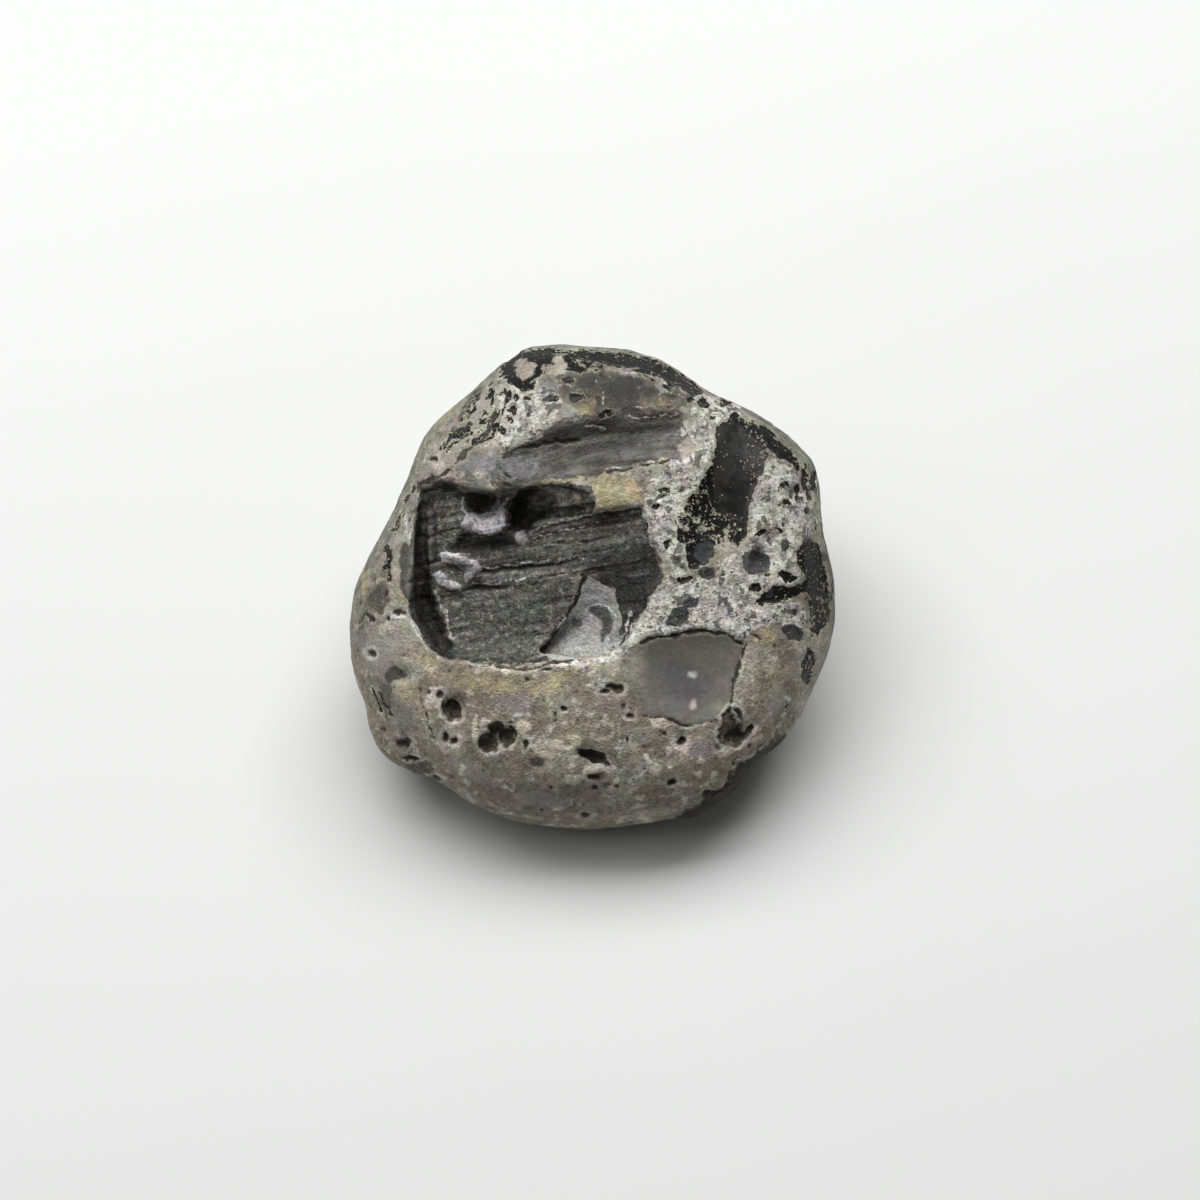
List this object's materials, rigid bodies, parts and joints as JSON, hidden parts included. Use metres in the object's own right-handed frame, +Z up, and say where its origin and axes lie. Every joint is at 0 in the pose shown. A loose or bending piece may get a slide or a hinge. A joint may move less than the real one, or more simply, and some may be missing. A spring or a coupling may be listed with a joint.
{
  "type": "apache tear",
  "caption": "Rounded obsidian nodule with a grey pitted rind and a deep hollow broken open in its broad face.",
  "frame": {"origin": "on the ground, under the middle of the stone's bounding box", "axes": "+X to the viewer's right across the stone's longest side, +Y away from the viewer, +Z up; the broad face looks up and towards -Y, 25 degrees from straight up"},
  "size_m": [0.0376, 0.036, 0.022],
  "materials": {
    "weathered_obsidian": "dull grey pitted rind over black volcanic glass, with frosted and glossy broken places"
  },
  "bodies": {
    "root": {"stone": "weathered_obsidian"}
  },
  "joints": []
}
